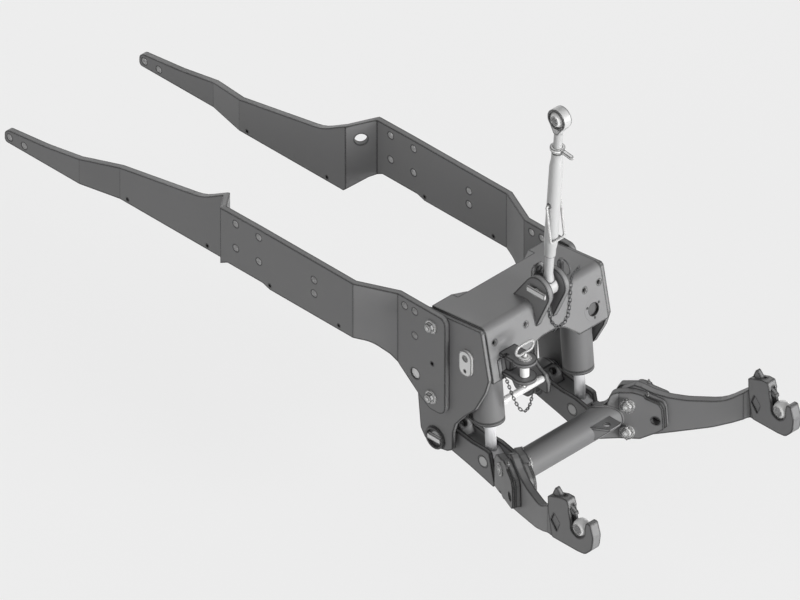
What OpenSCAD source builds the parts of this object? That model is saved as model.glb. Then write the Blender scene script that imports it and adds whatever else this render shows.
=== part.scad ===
// Front three-point linkage of category 2 for a tractor, in millimetres.
// X points forward, Y to the left and Z up. The origin is the middle of the lower link pivot axis.

/* [Mounting rails] */
// Thickness of the rail plates
rail_t = 20; // [16:1:24]
// Half width over the rails at their rear ends
rail_rear_half = 302; // [295:1:310]
// Half width over the rails at their narrow waist
rail_waist_half = 269.5; // [262:0.5:276]
// Half width over the rails where they bolt to the tractor's front
rail_wide_half = 345.5; // [335:0.5:355]
// Distance from the pivot axis back to the rear end of the rails
rail_reach = 1847; // [1750:1:1950]
// Height of the straight top edge of the rails
rail_top = 475; // [465:1:490]
// Height of the lower edge of the rails' long rear part
rail_foot = 212; // [205:1:220]
// Diameter of the rails' mounting holes
rail_hole_d = 22; // [18:1:26]
// Length of the four-hole pattern along the rail
pattern_l = 100; // [90:1:110]
// Height of the four-hole pattern
pattern_h = 90; // [80:1:95]
// Distance from the pivot axis back to the four-hole pattern
pattern_back = 787; // [770:1:800]
// Height of the lower row of the four-hole pattern
pattern_z = 355; // [345:1:365]
// Spacing of the two holes at each rear end
rear_pitch = 64; // [56:1:72]
// Spacing of the upright pair of holes
pair_pitch = 50; // [42:1:58]

/* [Headstock] */
// Half width over the side plates
head_half = 265; // [258:1:272]
// Thickness of the side plates and the inner ribs
side_t = 15; // [12:1:18]
// Half width of the drive shaft opening between the ribs
arch_half = 122; // [118:1:126]
// Height of the top of the drive shaft opening
arch_z = 370; // [355:1:385]
// Thickness of the folded cover
cover_t = 10; // [8:1:12]
// Height of the cover's front bend
cover_z = 494; // [488:1:500]
// Height of the cover's lower front edge
cover_low = 307; // [295:1:320]
// Lower link pivot pin diameter
pivot_d = 45; // [36:1:50]
// Diameter of the collar that carries each pivot pin's outer end
pivot_collar_d = 75; // [66:1:84]

/* [Lift cylinders] */
// Outer diameter of the barrel
barrel_d = 98; // [88:1:102]
// Bore of the barrel
bore_d = 76; // [66:1:80]
// Diameter of the piston rod
rod_d = 35; // [30:1:42]
// Distance from the top pin to the barrel's open end
barrel_l = 246; // [240:1:252]
// Diameter of the top pin
top_pin_d = 30; // [25:1:34]
// Diameter of the rod eye
rod_eye_d = 62; // [56:1:66]
// Radial clearance of pins and shafts in their bores
fit = 0.05; // [0.02:0.01:0.09]

/* [Lower links] */
// Thickness of the link plates
link_t = 15; // [12:1:18]
// Gap between the two plates of a link
link_gap = 49; // [44:1:54]
// Diameter of the cross tube
cross_d = 95; // [85:1:105]
// Thickness of the fold bracket's cheeks
cheek_t = 26; // [22:1:28]
// Thickness of the folding arm
arm_t = 26; // [22:1:28]
// Side clearance between the arm and each cheek
arm_gap = 1; // [0.5:0.1:2]
// Angle at which the cheeks and arms turn outward
spread = 27; // [25.5:0.1:28]
// Diameter of the fold and lock pins
fold_pin_d = 28; // [24:1:32]

/* [Hooks] */
// Distance of the hook centres from the middle plane
hook_half = 435; // [430:1:440]
// Height of the ball centre
hook_z = 154; // [150:1:158]
// Distance of the ball centre ahead of the pivot axis
hook_x = 795; // [785:1:805]
// Thickness of the hook body
hook_t = 34; // [30:1:40]
// Diameter of the lower link ball
ball_d = 56; // [54:1:58]
// Width of the lower link ball
ball_w = 45; // [42:1:48]
// Bore of the lower link ball
ball_bore = 28.7; // [26:0.1:31]
// Thickness of the latch tongue
latch_t = 14; // [10:1:18]

/* [Top link] */
// Distance between the clevis pin and the upper ball
top_link_l = 648; // [640:1:660]
// Forward lean of the top link
top_lean = 4.25; // [2:0.25:7]
// Gap between the clevis cheeks
clevis_gap = 52; // [51:0.5:56]
// Thickness of the clevis cheeks
clevis_t = 20; // [16:1:24]
// Diameter of the clevis pin and bore of the upper ball
top_bore = 25.7; // [24:0.1:27]
// Width of the top link balls
top_ball_w = 50; // [47:1:51]
// Diameter of the threaded rods
screw_d = 28; // [25:1:32]
// Outer diameter of the turnbuckle tube
tube_d = 44; // [42:1:50]
// Length of the turnbuckle tube
tube_l = 400; // [380:1:410]

/* [Tow jaw] */
// Distance of the tow pin from the middle plane
tow_y = 175; // [172:1:180]
// Diameter of the tow pin
tow_pin_d = 29; // [25:1:32]
// Clear height between the lips of the tow jaw
tow_gap = 51; // [46:1:54]
// Thickness of each lip
tow_lip_t = 12; // [10:1:16]

/* [Hidden] */
$fn = 64;
left = 1;
right = -1;
grey = [0.42, 0.42, 0.43];
zinc = [0.80, 0.80, 0.80];
chrome = [0.88, 0.88, 0.90];
through = 400;

// Where the parts of each side lie across the machine
side_in = head_half - side_t;
rib_out = arch_half + side_t;
link_mid = (rib_out + side_in) / 2;
link_out = link_mid + link_gap / 2 + link_t;
link_in = link_mid - link_gap / 2 - link_t;
rail_front_half = head_half + rail_t;

// Points in the upright plane along the machine, as [x, z]
pivot = [0, 0];
collar_h = 9;
top_pin = [136, 368];
rod_pin = [171, -21];
bolt_points = [[0, 425], [0, 162]];
bend_x = 317;
bend_y = link_in + 55;
fold_pin = [29.5, 49];
lock_reach = 98;
lock_pin = fold_pin - [0, lock_reach];
park_angle = 65;
cross_x = 282;
cross_z = -10;
tow_x = 291;
tow_top = 397;

function unit(v) = v / norm(v);
function right_of(v) = [v[1], -v[0]];
function flat(p) = [p[0], p[1]];
function heading(path, i) = unit(path[min(i + 1, len(path) - 1)] - path[min(i, len(path) - 2)]);
// A point of an open path moved to the path's right by t, mitred at the bends
function moved(path, i, t) =
    let (n1 = right_of(heading(path, max(i - 1, 0))),
         n2 = right_of(heading(path, i)),
         m = unit(n1 + n2))
    path[i] + m * t / (m * n1);
function shifted(path, t) = [for (i = [0 : len(path) - 1]) moved(path, i, t)];
function strip(path, t) =
    concat(path, [for (i = [len(path) - 1 : -1 : 0]) moved(path, i, t)]);

// One corner of a rounded outline, from the corner before, the corner and the one after
function corner(a, p, b, r) =
    r <= 0 ? [p] :
    let (u = unit(a - p), v = unit(b - p), half = acos(u * v) / 2,
         c = p + unit(u + v) * r / sin(half),
         s = p + u * r / tan(half) - c,
         e = p + v * r / tan(half) - c,
         a0 = atan2(s[1], s[0]),
         sweep = (atan2(e[1], e[0]) - a0 + 540) % 360 - 180,
         n = max(2, ceil(abs(sweep) / 9)))
    [for (k = [0 : n]) c + r * [cos(a0 + sweep * k / n), sin(a0 + sweep * k / n)]];
// An outline from points [x, y, corner radius]
function rounded(pts) =
    let (n = len(pts))
    [for (i = [0 : n - 1])
        each corner(flat(pts[(i + n - 1) % n]), flat(pts[i]), flat(pts[(i + 1) % n]), pts[i][2])];
// The point where a line from p touches a circle
function tangent(p, c, r, s) =
    let (v = c - p, a = atan2(v[1], v[0]) + s * asin(r / norm(v)))
    p + sqrt(v * v - r * r) * [cos(a), sin(a)];

module on_side(side) {
    if (side > 0) children();
    else mirror([0, 1, 0]) children();
}
// A plate from an outline in the upright plane along the machine, between y and y + t
module plate(y, t) translate([0, y + t, 0]) rotate([90, 0, 0]) linear_extrude(t) children();
// A round bar along Y through a point [x, z]
module bar(p, d, y, l) translate([p[0], y, p[1]]) rotate([-90, 0, 0]) cylinder(d = d, h = l);
module ring(r, wire) rotate_extrude() translate([r, 0]) circle(d = wire, $fn = 24);
module tube_y(p, d, bore, y, l) difference() {
    bar(p, d, y, l);
    bar(p, bore, y - 1, l + 2);
}

// Rails
rail_plan = [[-rail_reach, rail_rear_half], [-1518, rail_rear_half],
             [-1372, rail_waist_half], [-918, rail_waist_half],
             [-855, rail_wide_half], [-279, rail_wide_half],
             [-145, rail_front_half], [58, rail_front_half]];
rail_side = [[-rail_reach, rail_foot, 12], [-rail_reach, 257, 22], [-1668, 278, 400],
             [-1496, 309, 300], [-1372, 329, 0], [-1013, 396, 200], [-918, 452, 60],
             [-855, 473, 40], [-700, rail_top, 0], [58, rail_top, 25], [58, 116, 30],
             [-8, 114, 25], [-47, 139, 0], [-136, 212, 20], [-168, 243, 40],
             [-222, 273, 90]];
rail_belly = [[-640, 273, 12], [-670, 283, 12], [-823, 283, 15],
              [-862, 262, 10], [-917, rail_foot, 6]];
rail_holes = concat(
    [for (i = [0, 1]) [-rail_reach + 22 + i * rear_pitch, rail_foot + 23]],
    [for (i = [0, 1], j = [0, 1]) [-pattern_back + i * pattern_l, pattern_z + j * pattern_h]],
    [for (j = [0, 1]) [-447, pattern_z + j * pair_pitch]],
    [[-116, 445], [-72, 445], [-72, 355]]);
rail_small_holes = [[-1339, 226], [-989, 226], [-639, 288], [-340, 288]];

module rail(side) color(grey) on_side(side) difference() {
    intersection() {
        translate([0, 0, 50]) linear_extrude(500) polygon(strip(rail_plan, rail_t));
        plate(150, 250) polygon(rounded(concat(rail_side, rail_belly)));
    }
    for (p = rail_holes) bar(p, rail_hole_d, 100, through);
    for (p = rail_small_holes) bar(p, 10, 100, through);
    for (p = bolt_points) bar(p, 22, 100, through);
    bar([3, 287], 12, 100, through);
    bar([-70, 214], 36, 100, through);
    translate([-893, 300, 405]) rotate([-90, 0, 50.4]) cylinder(d = 41, h = 90, center = true);
}

// Each bolt clamps a rail to a side plate
module hex_bolt(p) translate([p[0], 0, p[1]]) {
    translate([0, rail_front_half, 0]) rotate([-90, 0, 0]) {
        cylinder(d = 38, h = 4);
        translate([0, 0, 4]) cylinder(d = 34, h = 13, $fn = 6);
    }
    translate([0, side_in - 16, 0]) rotate([-90, 0, 0]) {
        cylinder(d = 34, h = 16, $fn = 6);
        cylinder(d = 20, h = rail_front_half - side_in + 17);
    }
}
module rail_bolts() color(zinc)
    for (side = [left, right], p = bolt_points) on_side(side) hex_bolt(p);

// Headstock
cover_path = [[-31, cover_z - 24], [195, cover_z],
              [195 + (cover_z - cover_low) * tan(11.5), cover_low]];
cover_inner = shifted(cover_path, cover_t);
bend_r = 28;
module cover_profile(path, r)
    polygon(rounded([[path[0][0], path[0][1], 0], [path[1][0], path[1][1], r], [path[2][0], path[2][1], 0],
                     [path[0][0] - 1, path[2][1], 0], [path[0][0] - 1, path[0][1], 0]]));
plate_foot = [[210, 267, 15], [166, 183, 20], [121, 137, 20], [82, 88, 15], [71, 49, 12],
              [71, -13, 15], [49, -27, 12], [11, -35, 25], [-44, -27, 25], [-66, 5, 30]];
side_outline = concat([[-50, cover_z - 33, 15], [185, cover_z - 7, 6], [194, cover_z - 14, 5],
                       [226, 319, 12]], plate_foot, [[-78, 128, 40], [-60, 220, 0]]);
web_x = -5;
web_t = 10;
function cover_under(x) = cover_inner[0][1] + (x - cover_inner[0][0]) * 24 / 226;
// The rib hangs behind the cylinder and carries the inner ends of both pins
rib_outline = [[web_x + web_t, cover_under(web_x + web_t), 0],
               [cover_inner[1][0], cover_inner[1][1], bend_r - cover_t],
               [cover_inner[1][0] + (cover_inner[1][1] - 390) * tan(11.5), 390, 20],
               [172, 334, 30], [104, 334, 30], [88, 362, 20], [38, 362, 20], [38, 108, 24], [60, 90, 18],
               [82, 80, 20], [95, 52, 20], [95, 14, 6], [50, 19, 14], [38, 4, 10], [34, -16, 16],
               [12, -38, 22], [-16, -40, 22], [-44, -30, 25], [-66, 5, 30],
               [-70, 120, 40], [web_x + web_t, 260, 30]];

module side_plate(side) color(grey) on_side(side) difference() {
    union() {
        plate(side_in, side_t) polygon(rounded(side_outline));
        bar(pivot, pivot_collar_d, head_half, collar_h);
    }
    bar(pivot, pivot_collar_d - 13, head_half, 20);
    bar(pivot, pivot_d + 2 * fit, 100, through);
    bar(top_pin, top_pin_d + 2 * fit, 100, through);
    for (p = bolt_points) bar(p, 22, 100, through);
}
module inner_rib(side) color(grey) on_side(side) difference() {
    plate(arch_half, side_t) polygon(rounded(rib_outline));
    bar(pivot, pivot_d + 2 * fit, 100, through);
    bar(top_pin, top_pin_d + 2 * fit, 100, through);
}
tie = [74, 64];
tie_d = 24;
module tie_rod() color(zinc) bar(tie, tie_d, -arch_half, 2 * arch_half);
// The shaft opening, as seen from the front
module arch() rotate([90, 0, 90]) linear_extrude(through)
    polygon(rounded([[-arch_half, 200, 0], [-arch_half, cover_low + 2, 0], [-52, arch_z, 90],
                     [52, arch_z, 90], [arch_half, cover_low + 2, 0], [arch_half, 200, 0]]));
// Places children on the cover's sloping front, their Z along the outward normal
module on_front(y, z) {
    x = 195 + (cover_z - z) * tan(11.5);
    translate([x, y, z]) rotate([0, 90 - 11.5, 0]) children();
}
module beam_cover() color(grey) difference() {
    plate(-side_in, 2 * side_in) difference() {
        cover_profile(cover_path, bend_r);
        cover_profile(cover_inner, bend_r - cover_t);
    }
    translate([100, 0, 0]) arch();
    translate([web_x - 60, -165, cover_z - 60]) cube([60, 330, 60]);
    for (y = [-220, -85, 170, 232]) on_front(y, 436) cylinder(d = 18, h = 60, center = true);
    on_front(194, 361) {
        cylinder(d = 44, h = 60, center = true);
        for (a = [0 : 120 : 240]) rotate([0, 0, a + 60]) translate([22, 0, 0])
            cylinder(d = 12, h = 60, center = true);
    }
}
module rear_web() color(grey) difference() {
    plate(-side_in, 2 * side_in) polygon([[web_x, cover_low], [web_x + web_t, cover_low],
        [web_x + web_t, cover_under(web_x + web_t)], [web_x, cover_under(web_x)]]);
    translate([-200, 0, 0]) arch();
    for (side = [left, right]) on_side(side) bar(bolt_points[0], 44, side_in - 20, 30);
}

// Clevis for the top link
clevis_pt = [216, 542];
clevis_r = 50;
function cover_top_at(x) = cover_z - (195 - x) * 24 / 226;
module clevis_cheek(side) color(grey) on_side(side) {
    tip = [114, cover_top_at(114)];
    foot = [195 + (cover_z - 411) * tan(11.5), 411];
    difference() {
        plate(clevis_gap / 2, clevis_t) difference() {
            union() {
                translate(clevis_pt) circle(r = clevis_r);
                polygon([tip, tangent(tip, clevis_pt, clevis_r, 1), clevis_pt,
                         tangent(foot, clevis_pt, clevis_r, -1), foot, cover_path[1] - [bend_r, bend_r]]);
            }
            cover_profile(cover_path, bend_r);
        }
        bar(clevis_pt, top_bore + 2 * fit, 0, through);
    }
}
module clevis_pin() color(zinc) {
    reach = clevis_gap / 2 + clevis_t;
    difference() {
        bar(clevis_pt, top_bore, -reach - 10, 2 * reach + 32);
        translate([clevis_pt[0], clevis_linch_y, clevis_pt[1]]) rotate([0, 20, 0])
            cylinder(d = 9, h = 60, center = true);
    }
    translate([clevis_pt[0], -reach - 10, clevis_pt[1]]) rotate([90, 0, 0])
        linear_extrude(8) polygon(rounded([[-29, -1, 2], [48, -1, 2], [48, 19, 2], [-29, 19, 2]]));
}
// A linch pin along Z through a pin that lies along Y, with its ring around the pin
module linch(d, r, wire) {
    translate([0, 0, -r - 4]) cylinder(d = d, h = 2 * r + 4);
    translate([0, 0, r - 5]) cylinder(d = d + 5, h = 10);
    rotate([90, 0, 0]) ring(r, wire);
}
clevis_linch_y = clevis_gap / 2 + clevis_t + 11;
module clevis_linch_pin() color(zinc)
    translate([clevis_pt[0], clevis_linch_y, clevis_pt[1]]) rotate([0, 20, 0]) linch(9, 20, 5);

// Tow jaw on the headstock's front
tow_low = tow_top - 2 * tow_lip_t - tow_gap;
tow_rear = 232;
module tow_lip(z) translate([0, -tow_y, z]) linear_extrude(tow_lip_t) {
    translate([tow_x, 0]) circle(r = 38);
    translate([180, -34]) square([tow_x - 180, 68]);
}
module tow_jaw() color(grey) {
    face = [for (z = [tow_top + 10, tow_low - 10]) [195 + (cover_z - z) * tan(11.5), z]];
    intersection() {
        difference() {
            union() {
                tow_lip(tow_top - tow_lip_t);
                tow_lip(tow_low);
                translate([180, -tow_y - 16, tow_low]) cube([tow_rear + 12 - 180, 50, tow_top - tow_low]);
            }
            translate([tow_x, -tow_y, 0]) cylinder(d = tow_pin_d + 2 * fit, h = 600);
            translate([tow_rear, -tow_y - 40, tow_top - tow_lip_t - 1]) cube([11, 20, 60]);
        }
        plate(-head_half, 2 * head_half) polygon([face[0], [400, face[0][1]], [400, face[1][1]], face[1]]);
    }
}
module tow_pin() color(zinc) translate([tow_x, -tow_y, 0]) {
    difference() {
        translate([0, 0, tow_low - 24]) cylinder(d = tow_pin_d, h = tow_top - tow_low + 24);
        translate([0, 0, tow_low - 12]) rotate([90, 0, 45]) cylinder(d = 8, h = 60, center = true);
    }
    translate([0, 0, tow_top]) cylinder(d = 42, h = 6);
    translate([0, 0, tow_top + 6]) cylinder(d = 14, h = 14);
    translate([0, 0, tow_top + 36]) rotate([90, 0, 90]) linear_extrude(8, center = true) difference() {
        polygon(rounded([[-35, -19, 17], [35, -19, 17], [35, 19, 17], [-35, 19, 17]]));
        polygon(rounded([[-27, -11, 10], [27, -11, 10], [27, 11, 10], [-27, 11, 10]]));
    }
}
module tow_linch_pin() color(zinc)
    translate([tow_x, -tow_y, tow_low - 12]) rotate([90, 0, 45]) linch(8, 21, 5);

// Pivot pins of the lower links
module pivot_pins() color(zinc) for (side = [left, right]) on_side(side)
    bar(pivot, pivot_d, arch_half - 6, head_half - arch_half + 6);
module pivot_keepers() color(zinc) for (side = [left, right]) on_side(side) {
    half = pivot_collar_d / 2 - 9;
    plate(head_half, collar_h + 2) polygon([[-half, -9], [half, -9], [half, 9], [-half, 9]]);
}

module cylinder_top_pin(side) color(zinc) on_side(side) difference() {
    union() {
        bar(top_pin, top_pin_d, arch_half - 6, head_half - arch_half + 6);
        plate(head_half, 12) polygon(rounded([[top_pin[0] - 26, top_pin[1] - 64, 24],
            [top_pin[0] + 26, top_pin[1] - 64, 24], [top_pin[0] + 26, top_pin[1] + 26, 24],
            [top_pin[0] - 26, top_pin[1] + 26, 24]]));
    }
    bar([top_pin[0], top_pin[1] - 46], 10, 100, through);
    bar(top_pin, 20, head_half - 10, 40);
}

// Lift cylinders, with Z running from the top pin down to the rod eye
rod_line = rod_pin - top_pin;
pin_to_pin = norm(rod_line);
cylinder_lean = atan2(rod_line[0], -rod_line[1]);
module at_cylinder() translate([top_pin[0], link_mid, top_pin[1]]) rotate([0, 180 - cylinder_lean, 0]) children();
module cylinder_barrel(side) color(grey) on_side(side) at_cylinder() difference() {
    union() {
        translate([0, 0, 36]) cylinder(d = barrel_d, h = barrel_l - 36);
        translate([-30, -28, 0]) cube([60, 56, 40]);
        rotate([-90, 0, 0]) cylinder(r = 30, h = 56, center = true);
        translate([barrel_d / 2 - 4, 0, 60]) rotate([0, 90, 0]) cylinder(d = 26, h = 14);
        translate([barrel_d / 2 - 4, 0, barrel_l - 26]) rotate([0, 90, 0]) cylinder(d = 26, h = 14);
    }
    translate([0, 0, 54]) cylinder(d = bore_d, h = barrel_l);
    rotate([-90, 0, 0]) cylinder(d = top_pin_d + 2 * fit, h = 100, center = true);
    for (z = [60, barrel_l - 26]) translate([0, 0, z]) rotate([0, 90, 0]) cylinder(d = 12, h = 100);
}
module gland_cap(side) color(grey) on_side(side) at_cylinder() difference() {
    union() {
        translate([0, 0, barrel_l]) cylinder(d = barrel_d, h = 11);
        translate([0, 0, barrel_l - 12]) cylinder(d = bore_d, h = 12);
    }
    cylinder(d = rod_d + 2 * fit, h = through);
}
module piston_rod(side) color(chrome) on_side(side) at_cylinder() {
    translate([0, 0, pin_to_pin - 232]) cylinder(d = bore_d - 2 * fit, h = 30);
    translate([0, 0, pin_to_pin - 215]) cylinder(d = rod_d, h = 215 - rod_eye_d / 2 + 6);
    translate([0, 0, pin_to_pin]) rotate([-90, 22.5, 0])
        cylinder(d = rod_eye_d / cos(22.5), h = link_gap - 2, $fn = 8, center = true);
}

// Lower links, welded into one frame by the cross tube
module link_outer_plate(side) color(grey) on_side(side) difference() {
    plate(link_out - link_t, link_t) union() {
        circle(r = 44);
        polygon(rounded([[0, 42, 0], [60, 34, 40], [120, 24, 40], [180, 24, 40], [196, 20, 8],
            [207, -30, 0], [222, -96, 6], [118, -66, 60], [0, -38, 0]]));
    }
    bar(pivot, 2 * tube_r, 100, through);
    bar(rod_pin, 38 + 0.2, 100, through);
}
module link_inner_plate(side) color(grey) on_side(side) difference() {
    plate(link_in, link_t) union() {
        circle(r = 44);
        polygon(rounded([[0, 42, 0], [60, 34, 40], [120, 24, 40], [180, 24, 40], [inner_tail[0] - 12, 8, 0],
            [inner_tail[0] - 12, -88, 0], [214, -94, 30], [118, -66, 60], [0, -38, 0]]));
    }
    bar(pivot, 2 * tube_r, 100, through);
    bar(rod_pin, 38 + 0.2, 100, through);
}
tube_r = 33;
pivot_boss_d = 104;
module pivot_tube(side) color(grey) on_side(side) difference() {
    union() {
        bar(pivot, 2 * tube_r - 0.2, rib_out + 0.5, side_in - rib_out - 1);
        bar(pivot, pivot_boss_d, link_mid - link_gap / 2, link_gap);
    }
    bar(pivot, pivot_d + 2 * fit, 100, through);
}
// Bent plates that tie the two plates of each link over the pivot tube
module link_bridges() color(grey) for (side = [left, right]) on_side(side) difference() {
    plate(link_mid - link_gap / 2, link_gap)
        polygon(rounded([[10, 48, 0], [48, 48, 12], [62, 34, 8], [76, 10, 2], [64, 4, 2], [46, 26, 0], [20, 46, 0]]));
    translate([0, link_mid, 0]) rotate([0, 50, 0]) cylinder(d = 20, h = 100);
    bar(pivot, pivot_boss_d, 0, through);
}
// The tube is cut to the inner faces of the links and the cheeks' bends
module cross_tube() color(grey) {
    difference() {
        bar([cross_x, cross_z], cross_d, -bend_y, 2 * bend_y);
        bar([cross_x, cross_z], cross_d - 20, -bend_y - 1, 2 * bend_y + 2);
        for (side = [left, right]) on_side(side) translate([0, 0, -200]) linear_extrude(400)
            polygon([[0, link_in], inner_tail, [bend_x, bend_y], [500, bend_y + 90], [500, 400], [0, 400]]);
    }
    for (side = [left, right]) on_side(side) difference() {
        translate([cross_x, 0, cross_z + 24]) linear_extrude(8)
            polygon(rounded([[0, 100, 0], [60, 100, 0], [88, 118, 12], [88, 168, 6], [24, 168, 0], [24, 150, 0], [0, 150, 0]]));
        bar([cross_x, cross_z], cross_d - 1, 0, 300);
        translate([cross_x + 63, 131, -100]) cylinder(d = 24, h = 200);
    }
}
module rod_eye_pins() color(zinc) for (side = [left, right]) on_side(side) {
    bar(rod_pin, 38, link_in, link_t);
    bar(rod_pin, 38, link_out - link_t, link_t);
}

// Fold brackets, drawn along their own line: X along the arm, Y away from the middle
module at_bracket() translate([bend_x, bend_y, 0]) rotate([0, 0, spread]) children();
function from_bracket(p) = [bend_x + p[0] * cos(spread) - p[1] * sin(spread),
                            bend_y + p[0] * sin(spread) + p[1] * cos(spread)];
arm_in = cheek_t + arm_gap;
cheek_out = arm_in + arm_t + arm_gap;
bracket_w = cheek_out + cheek_t;
inner_tail = [bend_x - (bend_y - link_in), link_in];
outer_tail = [226, link_out - link_t];
cheek_nose = [[0, -83, 0], [69, -71, 20], [121, -38, 30], [153, -13, 8],
              [148, 60, 18], [138, 77, 18], [69, 95, 20], [42, 98, 20]];
inner_outline = concat(cheek_nose, [[0, 89, 40], [-26, 82, 20], [-38, 36, 20], [-50, 8, 15],
                                    [-100, 8, 0], [-100, -88, 0]]);
outer_outline = concat(cheek_nose, [[37, 89, 0], [-14, 78, 12], [-26, 58, 20], [-42, 24, 20],
                                    [-62, 4, 15], [-110, 4, 0], [-110, -80, 0]]);
park_pin = fold_pin + lock_reach * [sin(park_angle), -cos(park_angle)];
module bracket_holes() for (p = [fold_pin, lock_pin, park_pin]) bar(p, fold_pin_d + 2 * fit, -50, through);
// The cheek's edges are bevelled along the nose on the side away from the arm
module nose_bevel() plate(-1, cheek_t / 2.6) difference() {
    translate([80, -120]) square([100, 300]);
    polygon(rounded([[0, -200, 0], [143, -200, 0], [143, 0, 8], [139, 53, 16], [128, 72, 18], [84, 84, 10],
                     [70, 120, 0], [0, 120, 0]]));
}
module inner_prism() translate([0, 0, -200]) linear_extrude(500)
    polygon(strip([inner_tail - [12, 0], inner_tail, [bend_x, bend_y], from_bracket([170, 0])], -cheek_t));
module outer_prism() translate([0, 0, -200]) linear_extrude(500)
    polygon(strip([outer_tail - [12, 0], outer_tail, from_bracket([-30, bracket_w]),
                   from_bracket([170, bracket_w])], cheek_t));
module fold_cheek_inner(side) color(grey) on_side(side) difference() {
    intersection() {
        inner_prism();
        at_bracket() plate(-90, 200) polygon(rounded(inner_outline));
    }
    at_bracket() {
        bracket_holes();
        nose_bevel();
    }
}
module fold_cheek_outer(side) color(grey) on_side(side) difference() {
    intersection() {
        outer_prism();
        at_bracket() plate(-60, 260) polygon(rounded(outer_outline));
    }
    at_bracket() {
        bracket_holes();
        translate([0, bracket_w, 0]) mirror([0, 1, 0]) nose_bevel();
        translate([0, bracket_w, -48]) rotate([0, -8.8, 0]) rotate([52, 0, 0]) translate([-200, -100, -100])
            cube([500, 200, 100]);
    }
}
// Walls that join the link plates and the cheeks behind the arm
module bracket_back(side) color(grey) on_side(side) difference() {
    union() {
        at_bracket() translate([-46, 0, -64]) cube([18, bracket_w - cheek_t + 4, 84]);
        translate([inner_tail[0] - 33, link_in + link_t, -82]) cube([12, link_gap, 90]);
    }
    inner_prism();
    outer_prism();
    translate([0, link_out - link_t, -200]) cube([outer_tail[0] - 1, 100, 400]);
}
pin_reach = 20;
linch_at = 11;
module pin_set(p) at_bracket() {
    difference() {
        bar(p, fold_pin_d, -pin_reach, bracket_w + 2 * pin_reach);
        translate([p[0], -linch_at, p[1]]) cylinder(d = 6, h = 60, center = true);
    }
    for (n = [-4, bracket_w]) difference() {
        bar(p, fold_pin_d + 16, n, 4);
        bar(p, fold_pin_d - 2, n - 1, 6);
    }
}
module fold_pins() color(zinc) for (side = [left, right]) on_side(side) pin_set(fold_pin);
module lock_pins() color(zinc) for (side = [left, right]) on_side(side) pin_set(lock_pin);
module bracket_linch_pins() color(zinc) for (side = [left, right]) on_side(side) at_bracket() {
    for (p = [fold_pin, lock_pin]) translate([p[0], -linch_at, p[1]]) linch(6, 22, 4);
}

// Folding arms, cut to the rear edge of the hooks
arm_outline = [[40, 107, 8], [62, 104, 20], [100, 91, 60], [150, 84, 150], [211, 87, 200],
               [327, 108, 150], [394, 158, 30], [460, 200, 0], [460, 60, 0], [404, 62, 30], [360, 37, 200],
               [293, 4, 300], [155, -46, 200], [70, -76, 40], [20, -76, 20], [2, -50, 20],
               [-2, 0, 40], [-13, 40, 30], [-8, 76, 25]];
arm_end = 653;
module arm_plan() {
    face = from_bracket([0, arm_in]);
    back = from_bracket([0, arm_in + arm_t]);
    slope = tan(spread);
    polygon([from_bracket([-60, arm_in]), [arm_end, face[1] + (arm_end - face[0]) * slope],
             [hook_x - 128, hook_half - 8], [hook_x - 100, hook_half - 8],
             [hook_x - 100, hook_half + 6], [hook_x - 128, hook_half + 6],
             [arm_end - 4, back[1] + (arm_end - 4 - back[0]) * slope], from_bracket([-60, arm_in + arm_t])]);
}
// The arm's tail is open behind its lock hole, along the path of the pin as the arm folds
module lock_slot() intersection() {
    tube_y(fold_pin, 2 * lock_reach + fold_pin_d + 1, 2 * lock_reach - fold_pin_d - 1, 0, 200);
    translate([lock_pin[0] - 80, 0, lock_pin[1] - 40]) cube([80, 200, 110]);
}
module fold_arm(side) color(grey) on_side(side) difference() {
    intersection() {
        translate([0, 0, -200]) linear_extrude(500) arm_plan();
        at_bracket() plate(-100, 300) polygon(rounded(arm_outline));
    }
    at_bracket() {
        bar(fold_pin, fold_pin_d + 2 * fit, 0, 200);
        bar(lock_pin, fold_pin_d + 1, 0, 200);
        lock_slot();
    }
    at_hook() plate(-100, 200) polygon(rounded(hook_outline));
}

// Lower link hooks, placed from the ball's centre
hook_outline = [[-128, 2, 0], [-130, 57, 4], [-121, 63, 6], [-72, 80, 8], [-48, 81, 5],
                [-39, 56, 3], [-41, 47, 0], [-32, 6, 20], [-32, -24, 20], [0, -36, 20],
                [22, -20, 12], [30, 24, 2], [33, 38, 6], [50, 40, 8], [64, -4, 40],
                [58, -52, 40], [30, -80, 30], [-4, -84, 20], [-108, -85, 5], [-113, -80, 5]];
module at_hook() translate([hook_x, hook_half, hook_z]) children();
window = [[-103, 7], [-116, -24], [-92, -55], [-79, -19]];
latch_hinge = [-92, 58];
latch_pin_d = 9;
latch_shape = [[-118, 70, 3], [-105, 100, 5], [-80, 74, 3], [-62, 66, 6], [-22, 44, 4],
               [-20, 33, 3], [-34, 30, 6], [-66, 46, 8], [-92, 47, 8], [-102, 60, 3]];
module latch_pocket() polygon([[-122, 110], [-122, 62], [-106, 52], [-98, 36], [-86, 8], [-44, -14], [-20, 8],
                               [-20, 50], [-38, 60], [-60, 72], [-72, 82], [-72, 110]]);
module hook(side) color(grey) on_side(side) at_hook() difference() {
    plate(-hook_t / 2, hook_t) polygon(rounded(hook_outline));
    bar([0, 0], ball_d + 1, -hook_t, 2 * hook_t);
    plate(-hook_t, 2 * hook_t) polygon(window);
    difference() {
        plate(-latch_t / 2 - 0.5, latch_t + 1) latch_pocket();
        bar(latch_hinge, latch_pin_d, -hook_t, 2 * hook_t);
    }
}
module hook_latch(side) color(grey) on_side(side) at_hook() difference() {
    plate(-latch_t / 2, latch_t) polygon(rounded(latch_shape));
    bar(latch_hinge, latch_pin_d + 2 * fit, -hook_t, 2 * hook_t);
}
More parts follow.
